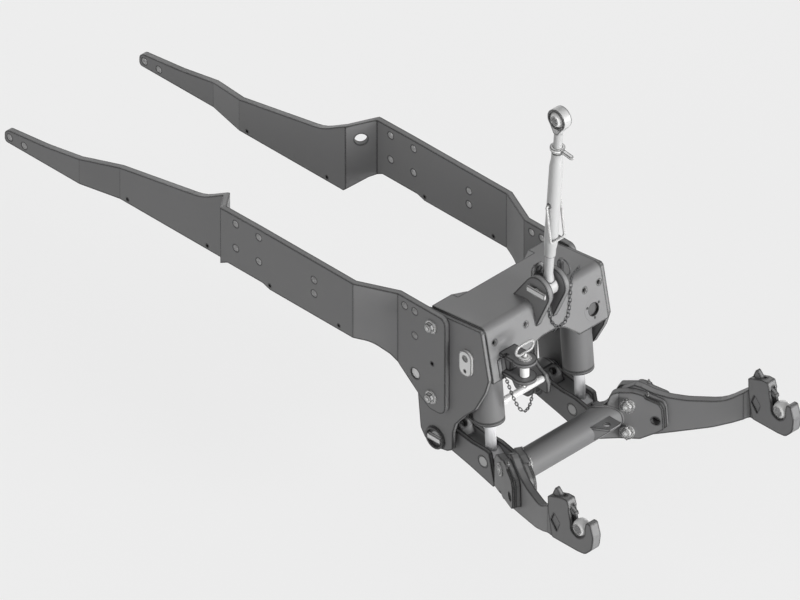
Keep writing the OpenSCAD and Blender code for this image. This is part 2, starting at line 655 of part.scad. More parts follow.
// A bored ball with flat ends
module bored_ball(d, w, bore) difference() {
    rotate([90, 0, 0]) sphere(d = d);
    for (y = [w / 2, -w / 2 - d]) translate([-d, y, -d]) cube([2 * d, d, 2 * d]);
    bar([0, 0], bore, -d, 2 * d);
}
module hook_ball(side) color(zinc) on_side(side) at_hook() bored_ball(ball_d, ball_w, ball_bore);

// Top link, drawn along its own line: Z from the clevis pin to the upper ball
tube_start = 119;
nut_start = tube_start + tube_l + 3;
nut_t = 18;
neck_end = top_link_l - 27;
neck_l = (neck_end - nut_start - nut_t) / 3;
bail_at = tube_start + 202;
bail_half = tube_d / 2 + 12;
bail_pin_d = 8;
bail_l = 140;
module at_top_link() translate([clevis_pt[0], 0, clevis_pt[1]]) rotate([0, top_lean, 0]) children();
module lower_screw() color(zinc) at_top_link() difference() {
    union() {
        bar([0, 0], 66, -22, 44);
        bar([0, 0], 46, -top_ball_w / 2, top_ball_w);
        translate([0, 0, 20]) cylinder(d1 = 40, d2 = screw_d, h = 30);
        translate([0, 0, 30]) cylinder(d = screw_d, h = 240);
    }
    bar([0, 0], top_bore + 2 * fit, -50, 100);
}
module turnbuckle_tube() color(zinc) at_top_link() difference() {
    union() {
        translate([0, 0, tube_start]) cylinder(d = tube_d - 8, h = tube_l);
        translate([0, 0, tube_start + 28]) cylinder(d = tube_d, h = tube_l - 56);
        bar([0, bail_at], 24, -tube_d / 2 - 7, tube_d + 14);
        bar([0, bail_at], bail_pin_d, -bail_half - 6, 2 * bail_half + 12);
    }
    translate([0, 0, tube_start - 1]) cylinder(d = screw_d + 2 * fit, h = tube_l + 2);
}
module bail_handle() color(zinc) at_top_link() translate([0, 0, bail_at]) difference() {
    union() {
        rotate([0, 168, 0]) {
            for (s = [-1, 1]) translate([0, s * bail_half, 6]) cylinder(d = 8, h = bail_l - 6);
            bar([0, bail_l], 10, -bail_half - 6, 2 * bail_half + 12);
        }
        for (s = [-1, 1]) bar([0, 0], 17, s * bail_half - 4.7, 9.4);
    }
    bar([0, 0], bail_pin_d + 2 * fit, -60, 120);
}
module lock_nut() color(zinc) at_top_link() translate([0, 0, nut_start]) difference() {
    union() {
        cylinder(d = 46, h = nut_t, $fn = 6);
        translate([10, -6, 3]) cube([58, 12, 10]);
    }
    cylinder(d = screw_d + 2 * fit, h = 60, center = true);
}
module upper_screw() color(zinc) at_top_link() difference() {
    union() {
        translate([0, 0, top_link_l]) bar([0, 0], 72, -16, 32);
        translate([0, 0, neck_end - neck_l]) cylinder(d1 = screw_d, d2 = 42, h = neck_l);
        translate([0, 0, nut_start - 140]) cylinder(d = screw_d, h = top_link_l - 30 - nut_start + 140);
    }
    bar([0, top_link_l], 56 + 2 * fit, -50, 100);
}
module upper_ball() color(zinc) at_top_link() translate([0, 0, top_link_l]) bored_ball(56, top_ball_w, top_bore);

rail(right);  // rail_right
rail(left);  // rail_left
rail_bolts();
side_plate(right);  // side_plate_right
side_plate(left);  // side_plate_left
inner_rib(right);  // inner_rib_right
inner_rib(left);  // inner_rib_left
beam_cover();
rear_web();
clevis_cheek(right);  // clevis_cheek_right
clevis_cheek(left);  // clevis_cheek_left
tow_jaw();
tie_rod();
pivot_pins();
pivot_keepers();
cylinder_top_pin(right);  // cylinder_top_pin_right
cylinder_top_pin(left);  // cylinder_top_pin_left
link_outer_plate(right);  // link_outer_plate_right
link_outer_plate(left);  // link_outer_plate_left
link_inner_plate(right);  // link_inner_plate_right
link_inner_plate(left);  // link_inner_plate_left
pivot_tube(right);  // pivot_tube_right
pivot_tube(left);  // pivot_tube_left
link_bridges();
cross_tube();
rod_eye_pins();
fold_cheek_inner(right);  // fold_cheek_inner_right
fold_cheek_inner(left);  // fold_cheek_inner_left
fold_cheek_outer(right);  // fold_cheek_outer_right
fold_cheek_outer(left);  // fold_cheek_outer_left
bracket_back(right);  // bracket_back_right
bracket_back(left);  // bracket_back_left
fold_pins();
lock_pins();
bracket_linch_pins();
cylinder_barrel(right);  // cylinder_barrel_right
cylinder_barrel(left);  // cylinder_barrel_left
gland_cap(right);  // gland_cap_right
gland_cap(left);  // gland_cap_left
piston_rod(right);  // piston_rod_right
piston_rod(left);  // piston_rod_left
fold_arm(right);  // fold_arm_right
fold_arm(left);  // fold_arm_left
hook(right);  // hook_right
hook(left);  // hook_left
hook_latch(right);  // hook_latch_right
hook_latch(left);  // hook_latch_left
hook_ball(right);  // hook_ball_right
hook_ball(left);  // hook_ball_left
clevis_pin();
clevis_linch_pin();
lower_screw();
turnbuckle_tube();
bail_handle();
lock_nut();
upper_screw();
upper_ball();
tow_pin();
tow_linch_pin();
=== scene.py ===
import math

import bmesh
import bpy
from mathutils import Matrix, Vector, geometry


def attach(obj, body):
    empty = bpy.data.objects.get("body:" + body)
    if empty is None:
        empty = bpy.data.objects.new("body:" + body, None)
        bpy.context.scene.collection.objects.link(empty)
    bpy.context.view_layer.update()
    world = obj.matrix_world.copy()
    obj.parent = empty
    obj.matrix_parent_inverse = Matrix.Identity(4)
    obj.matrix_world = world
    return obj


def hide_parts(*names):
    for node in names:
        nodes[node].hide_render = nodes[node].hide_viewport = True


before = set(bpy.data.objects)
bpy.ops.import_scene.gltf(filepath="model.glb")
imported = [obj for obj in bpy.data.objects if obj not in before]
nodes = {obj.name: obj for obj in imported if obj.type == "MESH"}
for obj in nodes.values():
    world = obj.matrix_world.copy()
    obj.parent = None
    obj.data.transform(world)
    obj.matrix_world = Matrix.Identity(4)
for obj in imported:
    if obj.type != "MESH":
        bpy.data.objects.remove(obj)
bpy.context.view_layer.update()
print("linkage frame loaded:", len(nodes), "nodes")


# Camera: far away with a very long lens, so that the view is all but parallel
cameraSetup = {
    "lens": 1200.0,
    "sensor": 36.0,
    "distance": 81.84,
    "aim": (-0.4206, 0.0, 0.1711),
    "towards": (1.0, -1.0, 1.0),
}


def makeCamera(s):
    data = bpy.data.cameras.new("linkageCamera")
    data.lens = s["lens"]
    data.sensor_width = s["sensor"]
    data.clip_start = 1.0
    data.clip_end = s["distance"] * 3
    cam = bpy.data.objects.new("linkageCamera", data)
    bpy.context.scene.collection.objects.link(cam)
    back = Vector(s["towards"]).normalized()
    cam.location = Vector(s["aim"]) + back * s["distance"]
    cam.rotation_mode = "QUATERNION"
    cam.rotation_quaternion = (-back).to_track_quat("-Z", "Y")
    bpy.context.scene.camera = cam


makeCamera(cameraSetup)
print("camera set")


# Studio: a broad lamp from the front end, weak ones from the side and behind, an even sky
studio = {
    "pale": (0.83, 0.83, 0.83),
    "skyLight": 0.34,
    "key": {"from": (1.0, 0.16, 0.05), "strength": 7.4, "angle": 30},
    "side": {"from": (0.05, -1.0, 0.05), "strength": 1.35, "angle": 60},
    "fill": {"from": (-0.6, 0.62, 0.05), "strength": 1.2, "angle": 60},
    "floorHeight": -0.30,
    "floorHalf": 16.0,
    "floorShadow": 0.25,
    "floorGlow": (0.95, 0.95, 0.95),
}


def makeLamp(name, s):
    data = bpy.data.lights.new(name, "SUN")
    data.energy = s["strength"]
    data.angle = math.radians(s["angle"])
    lamp = bpy.data.objects.new(name, data)
    bpy.context.scene.collection.objects.link(lamp)
    lamp.rotation_mode = "QUATERNION"
    lamp.rotation_quaternion = Vector(s["from"]).to_track_quat("Z", "Y")


def larger(nt, a, b):
    pick = nt.nodes.new("ShaderNodeMath")
    pick.operation = "MAXIMUM"
    nt.links.new(a, pick.inputs[0])
    nt.links.new(b, pick.inputs[1])
    return pick.outputs[0]


def seenDirectly(nt):
    rays = nt.nodes.new("ShaderNodeLightPath").outputs
    mirrored = larger(nt, rays["Is Camera Ray"], rays["Is Glossy Ray"])
    return larger(nt, mirrored, rays["Is Transmission Ray"])


def mixShaders(nt, share, a, b, out):
    mix = nt.nodes.new("ShaderNodeMixShader")
    nt.links.new(share, mix.inputs["Fac"])
    nt.links.new(a.outputs[0], mix.inputs[1])
    nt.links.new(b.outputs[0], mix.inputs[2])
    nt.links.new(mix.outputs[0], out.inputs["Surface"])


def makeSky(s):
    world = bpy.data.worlds.new("studioSky")
    bpy.context.scene.world = world
    world.use_nodes = True
    nt = world.node_tree
    nt.nodes.clear()
    lit = nt.nodes.new("ShaderNodeBackground")
    lit.inputs["Color"].default_value = (1, 1, 1, 1)
    lit.inputs["Strength"].default_value = s["skyLight"]
    seen = nt.nodes.new("ShaderNodeBackground")
    seen.inputs["Color"].default_value = (*s["pale"], 1)
    mixShaders(nt, seenDirectly(nt), lit, seen, nt.nodes.new("ShaderNodeOutputWorld"))


def makeFloor(s):
    mesh = bpy.data.meshes.new("studioFloor")
    h, z = s["floorHalf"], s["floorHeight"]
    mesh.from_pydata([(-h, -h, z), (h, -h, z), (h, h, z), (-h, h, z)], [], [(0, 1, 2, 3)])
    floor = bpy.data.objects.new("studioFloor", mesh)
    bpy.context.scene.collection.objects.link(floor)
    mat = bpy.data.materials.new("studioFloor")
    mat.use_nodes = True
    nt = mat.node_tree
    nt.nodes.clear()
    matt = nt.nodes.new("ShaderNodeBsdfDiffuse")
    matt.inputs["Color"].default_value = (*s["pale"], 1)
    glow = nt.nodes.new("ShaderNodeEmission")
    glow.inputs["Color"].default_value = (*s["floorGlow"], 1)
    share = nt.nodes.new("ShaderNodeMath")
    share.operation = "MULTIPLY"
    share.inputs[1].default_value = 1 - s["floorShadow"]
    nt.links.new(seenDirectly(nt), share.inputs[0])
    mixShaders(nt, share.outputs[0], matt, glow, nt.nodes.new("ShaderNodeOutputMaterial"))
    mesh.materials.append(mat)


for lampName in ("key", "side", "fill"):
    makeLamp(lampName + "Lamp", studio[lampName])
makeSky(studio)
makeFloor(studio)
bpy.context.scene.view_settings.view_transform = "Standard"
print("studio lit")


# Finishes; an edge is drawn in its own colour over edgeWidth, in metres
paintFinish = {
    "colour": (0.132, 0.132, 0.134),
    "dust": (0.175, 0.175, 0.173),
    "edge": (0.003, 0.003, 0.003),
    "edgeWidth": 0.0080,
    "edgeShare": 1.0,
    "roughness": (0.46, 0.66),
    "grain": 0.06,
    "metal": 0.0,
    "coat": 0.05,
}
thinPaintFinish = dict(paintFinish, edgeWidth=0.0032)  # for small pieces
plainPaintFinish = dict(paintFinish, edgeShare=0.0)
# the paint darkened: painted shade for the cylinders, their gland caps and the cross tube
shadedCylinderFinish = dict(paintFinish, colour=(0.100, 0.100, 0.102), dust=(0.130, 0.130, 0.128))
# the paint darkened: painted shade on the plate seen inside the eared hole
shadedInnerFinish = dict(paintFinish, colour=(0.062, 0.062, 0.063), dust=(0.075, 0.075, 0.074),
                   edgeShare=0.0, coat=0.0)
lineFinish = dict(paintFinish, colour=(0.012, 0.012, 0.012), dust=(0.02, 0.02, 0.02), coat=0.0)
zincFinish = {
    "colour": (0.40, 0.40, 0.398),
    "dust": (0.33, 0.335, 0.34),
    "edge": (0.012, 0.012, 0.012),
    "edgeWidth": 0.0060,
    "edgeShare": 0.97,
    "roughness": (0.32, 0.50),
    "grain": 0.03,
    "metal": 0.15,
    "coat": 0.0,
}
brightFinish = dict(zincFinish, colour=(0.68, 0.68, 0.675), dust=(0.60, 0.60, 0.60), edgeShare=0.9, metal=0.1)
# pale bore colour: the balls' bright bores, and painted light on the walls of the bolt holes
boreAndPaintedLightFinish = dict(zincFinish, colour=(0.62, 0.62, 0.62), dust=(0.50, 0.50, 0.50), edgeShare=0.0, metal=0.1)
rodFinish = {
    "colour": (0.62, 0.62, 0.63),
    "dust": (0.55, 0.55, 0.56),
    "edge": (0.05, 0.05, 0.05),
    "edgeWidth": 0.0030,
    "edgeShare": 0.8,
    "roughness": (0.12, 0.24),
    "grain": 0.01,
    "metal": 0.15,
    "coat": 0.0,
}
chainFinish = {
    "colour": (0.075, 0.075, 0.078),
    "dust": (0.12, 0.12, 0.118),
    "edge": (0.02, 0.02, 0.02),
    "edgeWidth": 0.0008,
    "edgeShare": 0.5,
    "roughness": (0.35, 0.55),
    "grain": 0.03,
    "metal": 0.4,
    "coat": 0.0,
}

# What all the finishes share: noise scales with their detail, and how the noise is spread
surfaceDetail = {
    "broad": (3.5, 4), "fine": (260, 3), "speck": (900, 2), "noiseRoughness": 0.55,
    "dustRange": (0.35, 0.75), "dustShare": 0.55,
    "speckRange": (0.62, 0.72), "speckShare": 0.25,
    "roughRange": (0.3, 0.7), "coatRoughness": 0.3,
    "edgeRange": (0.9993, 0.985), "edgeSamples": 6,
    "softWidth": 0.0012, "softSamples": 4, "bumpDistance": 0.002,
}


def makeFinish(name, s, shared=surfaceDetail):
    mat = bpy.data.materials.new(name)
    mat.use_nodes = True
    nt = mat.node_tree
    shader = nt.nodes["Principled BSDF"]
    shader.inputs["Metallic"].default_value = s["metal"]
    shader.inputs["Coat Weight"].default_value = s["coat"]
    shader.inputs["Coat Roughness"].default_value = shared["coatRoughness"]
    place = nt.nodes.new("ShaderNodeTexCoord").outputs["Object"]

    def noise(scale, detail):
        n = nt.nodes.new("ShaderNodeTexNoise")
        n.inputs["Scale"].default_value = scale
        n.inputs["Detail"].default_value = detail
        n.inputs["Roughness"].default_value = shared["noiseRoughness"]
        nt.links.new(place, n.inputs["Vector"])
        return n.outputs["Fac"]

    def spread(value, ends, outLow, outHigh):
        m = nt.nodes.new("ShaderNodeMapRange")
        for key, v in zip(("From Min", "From Max", "To Min", "To Max"), (*ends, outLow, outHigh)):
            m.inputs[key].default_value = v
        nt.links.new(value, m.inputs["Value"])
        return m.outputs["Result"]

    def blendColours(share, a, b):
        m = nt.nodes.new("ShaderNodeMix")
        m.data_type = "RGBA"
        nt.links.new(share, m.inputs[0])
        for socket, colour in ((6, a), (7, b)):
            if isinstance(colour, tuple):
                m.inputs[socket].default_value = (*colour, 1)
            else:
                nt.links.new(colour, m.inputs[socket])
        return m.outputs[2]

    def roundedNormal(width, samples):
        n = nt.nodes.new("ShaderNodeBevel")
        n.samples = samples
        n.inputs["Radius"].default_value = width
        return n.outputs["Normal"]

    broad = noise(*shared["broad"])
    dusty = spread(broad, shared["dustRange"], 0.0, shared["dustShare"])
    tint = blendColours(dusty, s["colour"], s["dust"])
    speck = spread(noise(*shared["speck"]), shared["speckRange"], 0.0, shared["speckShare"])
    tint = blendColours(speck, tint, s["dust"])

    # Edges: where the rounded normal leaves the flat one
    dot = nt.nodes.new("ShaderNodeVectorMath")
    dot.operation = "DOT_PRODUCT"
    nt.links.new(roundedNormal(s["edgeWidth"], shared["edgeSamples"]), dot.inputs[0])
    nt.links.new(nt.nodes.new("ShaderNodeNewGeometry").outputs["Normal"], dot.inputs[1])
    edge = spread(dot.outputs["Value"], shared["edgeRange"], 0.0, s["edgeShare"])
    nt.links.new(blendColours(edge, tint, s["edge"]), shader.inputs["Base Color"])
    nt.links.new(spread(broad, shared["roughRange"], *s["roughness"]), shader.inputs["Roughness"])

    bump = nt.nodes.new("ShaderNodeBump")
    bump.inputs["Strength"].default_value = s["grain"]
    bump.inputs["Distance"].default_value = shared["bumpDistance"]
    nt.links.new(noise(*shared["fine"]), bump.inputs["Height"])
    nt.links.new(roundedNormal(shared["softWidth"], shared["softSamples"]), bump.inputs["Normal"])
    nt.links.new(bump.outputs["Normal"], shader.inputs["Normal"])
    return mat


darkPaint = makeFinish("darkPaint", paintFinish)
zincPlate = makeFinish("zincPlate", zincFinish)
chromeRod = makeFinish("chromeRod", rodFinish)
chainSteel = makeFinish("chainSteel", chainFinish)
thinPaint = makeFinish("thinPaint", thinPaintFinish)
shadedCylinderPaint = makeFinish("shadedCylinderPaint", shadedCylinderFinish)
brightZinc = makeFinish("brightZinc", brightFinish)
boreSteel = makeFinish("boreSteel", boreAndPaintedLightFinish)
plainPaint = makeFinish("plainPaint", plainPaintFinish)
innerPaint = makeFinish("innerPaint", shadedInnerFinish)
linePaint = makeFinish("linePaint", lineFinish)

slotFinishes = {"dark_paint": darkPaint, "zinc": zincPlate, "chrome": chromeRod}

# Solids that are brighter or darker than the rest of their slot; the darker paint on the cylinders and their
# caps is painted shade
ownFinishes = {
    "cylinder_top_pin_right": brightZinc, "cylinder_top_pin_left": brightZinc, "pivot_keepers": brightZinc,
    "clevis_pin": brightZinc, "clevis_linch_pin": brightZinc, "tie_rod": brightZinc,
    "bracket_linch_pins": brightZinc, "tow_linch_pin": brightZinc, "upper_ball": brightZinc,
    "hook_ball_right": brightZinc, "hook_ball_left": brightZinc,
    "cylinder_barrel_right": shadedCylinderPaint, "cylinder_barrel_left": shadedCylinderPaint,
    "gland_cap_right": shadedCylinderPaint, "gland_cap_left": shadedCylinderPaint,
}


def dressSolid(name, obj):
    for holder in obj.material_slots:
        for key, mat in slotFinishes.items():
            if key in holder.material.name:
                holder.material = ownFinishes.get(name, mat)
                break


for solidName, solid in nodes.items():
    dressSolid(solidName, solid)
print("finishes on the solids")


# Tools for the pieces; all of them take millimetres
def newPiece(name, bm, mat, body):
    mesh = bpy.data.meshes.new(name)
    bmesh.ops.recalc_face_normals(bm, faces=bm.faces)
    bm.to_mesh(mesh)
    bm.free()
    mesh.materials.append(mat)
    obj = bpy.data.objects.new(name, mesh)
    bpy.context.scene.collection.objects.link(obj)
    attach(obj, body)
    return obj


def smoothed(obj, sharpFrom=None):
    # smooth shading, with edges kept sharp from this angle up
    for f in obj.data.polygons:
        f.use_smooth = True
    if sharpFrom:
        obj.data.set_sharp_from_angle(angle=math.radians(sharpFrom))
    return obj


def softenEdges(obj, width):
    mod = obj.modifiers.new("softEdges", "BEVEL")
    mod.width = width / 1000
    mod.segments = 2
    mod.limit_method = "ANGLE"
    mod.angle_limit = math.radians(35)


def angles(count):
    return [2 * math.pi * k / count for k in range(count)]


def throughPoints(points, step, fineness=24):
    # a smooth line through the points, cut into equal steps
    pts = [Vector(p) for p in points]
    pts = [pts[0] * 2 - pts[1]] + pts + [pts[-1] * 2 - pts[-2]]
    fine = []
    for a, b, c, d in zip(pts, pts[1:], pts[2:], pts[3:]):
        for k in range(fineness):
            t = k / fineness
            fine.append(0.5 * (2 * b + (c - a) * t + (2 * a - 5 * b + 4 * c - d) * t * t
                               + (3 * b - a - 3 * c + d) * t ** 3))
    fine.append(pts[-2])
    total = sum((q - p).length for p, q in zip(fine, fine[1:]))
    count = max(2, round(total / step))
    gap, out, walked = total / count, [fine[0]], 0.0
    for p, q in zip(fine, fine[1:]):
        leg = (q - p).length
        while walked + leg >= gap * len(out) and len(out) < count:
            out.append(p.lerp(q, (gap * len(out) - walked) / leg))
        walked += leg
    out.append(fine[-1])
    return out


def addTube(bm, path, radius, sides=8, closed=False, side=(0.3, 0.9, 0.31)):
    # a round bar swept along the path, with one radius or one for each point
    rings = []
    n = len(path)
    side = Vector(side)
    for i, p in enumerate(path):
        ahead = path[(i + 1) % n] if closed or i < n - 1 else p
        back = path[i - 1] if closed or i > 0 else p
        along = (ahead - back).normalized()
        side = (side - along * side.dot(along)).normalized()
        up = along.cross(side)
        r = radius[i] if isinstance(radius, list) else radius
        rings.append([bm.verts.new((p + (side * math.cos(a) + up * math.sin(a)) * r) / 1000)
                      for a in angles(sides)])
    for i in range(n if closed else n - 1):
        a, b = rings[i], rings[(i + 1) % n]
        for k in range(sides):
            bm.faces.new((a[k], a[(k + 1) % sides], b[(k + 1) % sides], b[k]))
    if not closed:
        bm.faces.new(rings[0][::-1])
        bm.faces.new(rings[-1])


def addLink(bm, middle, along, across, length, width, wire, sides=8):
    # one oval link; length and width are measured outside
    r = (width - wire) / 2
    half = (length - wire) / 2 - r
    path = []
    for end, start in ((1, -90), (-1, 90)):
        for k in range(7):
            a = math.radians(start + 30 * k)
            path.append(middle + along * (end * half + r * math.cos(a)) + across * r * math.sin(a))
    addTube(bm, path, wire / 2, sides, closed=True, side=along.cross(across))


def lathe(bm, base, axis, profile, sides=40, closed=False):
    # turns (radius, height) pairs about an axis through base
    axis = Vector(axis).normalized()
    side = axis.orthogonal().normalized()
    up = axis.cross(side)
    base = Vector(base)
    rings = []
    for r, h in profile:
        middle = base + axis * h
        if r == 0:
            rings.append([bm.verts.new(middle / 1000)])
            continue
        rings.append([bm.verts.new((middle + (side * math.cos(a) + up * math.sin(a)) * r) / 1000)
                      for a in angles(sides)])
    pairs = list(zip(rings, rings[1:])) + ([(rings[-1], rings[0])] if closed else [])
    for a, b in pairs:
        for k in range(sides):
            n = (k + 1) % sides
            corners = [a[k % len(a)], a[n % len(a)], b[n % len(b)], b[k % len(b)]]
            kept = [v for i, v in enumerate(corners) if v not in corners[:i]]
            if len(kept) > 2:
                bm.faces.new(kept)


def prism(bm, lower, shift):
    # a flat outline pushed along shift
    shift = Vector(shift)
    a = [bm.verts.new(Vector(p) / 1000) for p in lower]
    b = [bm.verts.new((Vector(p) + shift) / 1000) for p in lower]
    bm.faces.new(a)
    bm.faces.new(b[::-1])
    for k in range(len(a)):
        n = (k + 1) % len(a)
        bm.faces.new((a[k], b[k], b[n], a[n]))


def holedPlate(bm, loops, shift):
    # a flat plate with holes; the first loop is its outline
    shift = Vector(shift)
    flat = [[Vector(p) for p in loop] for loop in loops]
    lower = [bm.verts.new(p / 1000) for loop in flat for p in loop]
    upper = [bm.verts.new((p + shift) / 1000) for loop in flat for p in loop]
    for tri in geometry.tessellate_polygon(flat):
        bm.faces.new([lower[i] for i in tri])
        bm.faces.new([upper[i] for i in reversed(tri)])
    first = 0
    for loop in flat:
        n = len(loop)
        for k in range(n):
            i, j = first + k, first + (k + 1) % n
            bm.faces.new((lower[i], upper[i], upper[j], lower[j]))
        first += n


# Safety chains
chainLink = {"pitch": 12.0, "width": 11.0, "wire": 3.2, "overlap": 1.9, "across": (0.5, 0.8, 0.1)}
towChain = dict(chainLink, name="towChain", path=[
    (243, -209, 318), (246, -200, 290), (252, -186, 240), (262, -170, 195), (272, -162, 183),
    (285, -160, 192), (300, -160, 222), (310, -160, 262),
])
clevisChain = dict(chainLink, name="clevisChain", path=[
    (166, 188, 497), (186, 138, 499), (203, 115, 484), (212, 101, 430), (221, 84, 390), (224, 62, 374),
    (223, 40, 374), (220, 22, 390), (214, 14, 420), (208, 12, 455), (208, 12, 490), (214, 14, 520),
])


def makeChain(s):
    bm = bmesh.new()
    knots = throughPoints(s["path"], s["pitch"])
    across = Vector(s["across"])
    for i, (p, q) in enumerate(zip(knots, knots[1:])):
        along = (q - p).normalized()
        across = (across - along * across.dot(along)).normalized()
        turned = across if i % 2 else along.cross(across)
        length = (q - p).length + s["overlap"] * s["wire"]
        addLink(bm, (p + q) / 2, along, turned, length, s["width"], s["wire"])
    smoothed(newPiece(s["name"], bm, chainSteel, "frame"))


# Long link that holds the tow pin's chain beside the jaw
chainHolder = {"middle": (227, -212, 344), "lean": (-0.2, 0, 1), "length": 72, "width": 21, "wire": 5}


def makeChainHolder(s):
    bm = bmesh.new()
    lean = Vector(s["lean"]).normalized()
    addLink(bm, Vector(s["middle"]), lean, Vector((0, 1, 0)), s["length"], s["width"], s["wire"], 12)
    smoothed(newPiece("chainHolder", bm, chainSteel, "frame"))


makeChain(towChain)
makeChain(clevisChain)
makeChainHolder(chainHolder)
print("chains hung")


# Washers and end faces of the four rail bolts
railBolts = {
    "points": [(0, 425), (0, 162)], "face": 285, "headEnd": 302,
    "washer": [(15, 0), (24, 0), (24, 3.5), (22.5, 5), (15, 5)],
    "end": [(14, -1), (14, 0), (13, 0.8), (7.5, 0.8), (7.5, 2.2), (6.5, 2.8), (0, 2.8)],
}


def makeBoltWashers(s):
    bm = bmesh.new()
    for side in (1, -1):
        for x, z in s["points"]:
            lathe(bm, (x, side * s["face"], z), (0, side, 0), s["washer"], closed=True)
            lathe(bm, (x, side * s["headEnd"], z), (0, side, 0), s["end"])
    smoothed(newPiece("boltWashers", bm, brightZinc, "frame"), 35)


# The cover's sloping front face
coverFront = {"slope": math.radians(11.5), "topX": 195, "top": 494, "thick": 10}
frontNormal = Vector((math.cos(coverFront["slope"]), 0, math.sin(coverFront["slope"])))


def frontPoint(y, z, out=0.0, s=coverFront):
    slope = s["slope"]
    x = s["topX"] + (s["top"] - z) * math.tan(slope)
    return Vector((x + out * math.cos(slope), y, z + out * math.sin(slope)))


# Pale sleeves in the bolt holes, painted light on walls that the lamps leave in shade, and the plug below the
# front ones
holeLiners = {
    "rail": [(-1825, 235, 302), (-1761, 235, 302), (-787, 355, 345.5), (-687, 355, 345.5),
             (-787, 445, 345.5), (-687, 445, 345.5), (-447, 355, 345.5), (-447, 405, 345.5),
             (-116, 445, 285), (-72, 445, 285), (-72, 355, 285)],
    "railRadius": 11, "railDeep": 20,
    "front": [-220, -85, 170, 232], "frontZ": 436, "frontRadius": 9, "frontDeep": 10,
    "seat": 0.05, "wall": 0.7, "shy": 0.8,
    "plugAt": (-70, 285, 214), "plug": [(0, 3), (16, 3), (17.8, 4), (17.8, 16), (0, 16)],
}


def addSleeve(bm, base, axis, r, deep, s):
    outer, inner, low, high = r - s["seat"], r - s["wall"], s["shy"], deep - s["shy"]
    lathe(bm, base, axis, [(outer, low), (outer, high), (inner, high), (inner, low)], 32, closed=True)


def makeLitHoleWalls(s):
    bm = bmesh.new()
    for side in (1, -1):
        for x, z, y in s["rail"]:
            addSleeve(bm, (x, side * y, z), (0, -side, 0), s["railRadius"], s["railDeep"], s)
        x, y, z = s["plugAt"]
        lathe(bm, (x, side * y, z), (0, -side, 0), s["plug"])
    for y in s["front"]:
        addSleeve(bm, frontPoint(y, s["frontZ"]), -frontNormal, s["frontRadius"], s["frontDeep"], s)
    # the sleeves' pale colour is painted light on the hole walls
    smoothed(newPiece("holeLiners", bm, boreSteel, "frame"), 35)


# Sloping corners at the cover's rear edge: half widths at each x
coverTrim = {"plan": [(-31, 165), (-5, 165), (-3, 121), (-8, 125)], "fall": 24 / 226}  # fall of the top


def makeCoverTrim(s):
    bm = bmesh.new()
    thick = coverFront["thick"]

    def top(x):
        return coverFront["top"] - (coverFront["topX"] - x) * s["fall"]

    for side in (1, -1):
        prism(bm, [(x, side * y, top(x) - thick) for x, y in s["plan"]], (0, 0, thick))
    smoothed(newPiece("coverTrim", bm, thinPaint, "frame"), 35)


# The eared hole: the plate behind it in darker paint, painted shade inside the hole; plain paint round it,
# and its dark rim with three small ears
eyelet = {
    "hole": (194, 361), "bore": 22,
    "backing": 34, "backingThick": 3,
    "plate": 38, "proud": 0.25, "sunk": 1,
    "rim": (21.3, 22.9), "rimProud": 0.45,
    "ears": (30, 150, 270), "earRadius": 4.6, "earReach": 28.5,
}


def makeEyelet(s):
    y, z = s["hole"]
    low, proud, high = -s["sunk"], s["proud"], s["rimProud"]

    # the backing plate's darker paint is painted shade inside the hole
    bm = bmesh.new()
    r, t = s["backing"], s["backingThick"]
    lathe(bm, frontPoint(y, z, -coverFront["thick"]), -frontNormal, [(0, 0), (r, 0), (r, t), (0, t)])
    smoothed(newPiece("eyeletBacking", bm, innerPaint, "frame"), 35)

    bm = bmesh.new()
    inner, outer = s["bore"], s["plate"]
    lathe(bm, frontPoint(y, z), frontNormal,
          [(inner, low), (outer, low), (outer, proud), (inner, proud)], 56, closed=True)
    smoothed(newPiece("eyeletPlate", bm, plainPaint, "frame"), 35)

    bm = bmesh.new()
    inner, outer = s["rim"]
    lathe(bm, frontPoint(y, z), frontNormal,
          [(inner, low), (outer, low), (outer, high), (inner, high)], 56, closed=True)
    r = s["earRadius"]
    for ear in s["ears"]:
        a = math.radians(ear)
        rise = s["earReach"] * math.sin(a) * math.cos(coverFront["slope"])
        at = frontPoint(y + s["earReach"] * math.cos(a), z + rise)
        lathe(bm, at, frontNormal, [(0, low), (r, low), (r, high), (0, high)], 20)
    smoothed(newPiece("eyeletRing", bm, linePaint, "frame"), 35)


makeBoltWashers(railBolts)
makeLitHoleWalls(holeLiners)
makeCoverTrim(coverTrim)
makeEyelet(eyelet)
print("headstock dressed")


# Tow pin with its flat loop
towPin = {
    "at": (291, -175), "collar": 397,
    "profile": [(0, -99), (12, -99), (14.5, -96.5), (14.5, 0), (21, 0), (21, 4.5), (19.5, 6),
                (9, 6), (7, 8), (7, 18), (5, 21), (0, 21)],
    "loopMiddle": 435, "loopLong": 84, "loopTall": 42, "loopWire": 8.4,
}


def makeTowPin(s):
    bm = bmesh.new()
    x, y = s["at"]
    lathe(bm, (x, y, s["collar"]), (0, 0, 1), s["profile"])
    addLink(bm, Vector((x, y, s["loopMiddle"])), Vector((0, 1, 0)), Vector((0, 0, 1)),
            s["loopLong"], s["loopTall"], s["loopWire"], 12)
    obj = smoothed(newPiece("towPin", bm, brightZinc, "tow_pin_body"), 35)
    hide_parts("tow_pin")


# Clip at the foot of the top link: a ring, a coil and the rod inside the coil
clevisClip = {
    "pin": (216, 62, 542),
    "ring": {"aside": 8, "up": 36, "radius": 27, "wire": 4.5},
    "coil": {"aside": -5, "from": 566, "to": 604, "radius": 8, "wire": 2.4, "turns": 7, "steps": 16},
    "rod": {"from": 546, "profile": [(0, 0), (4.5, 0), (4.5, 62), (7, 62), (7, 70), (0, 70)]},
}


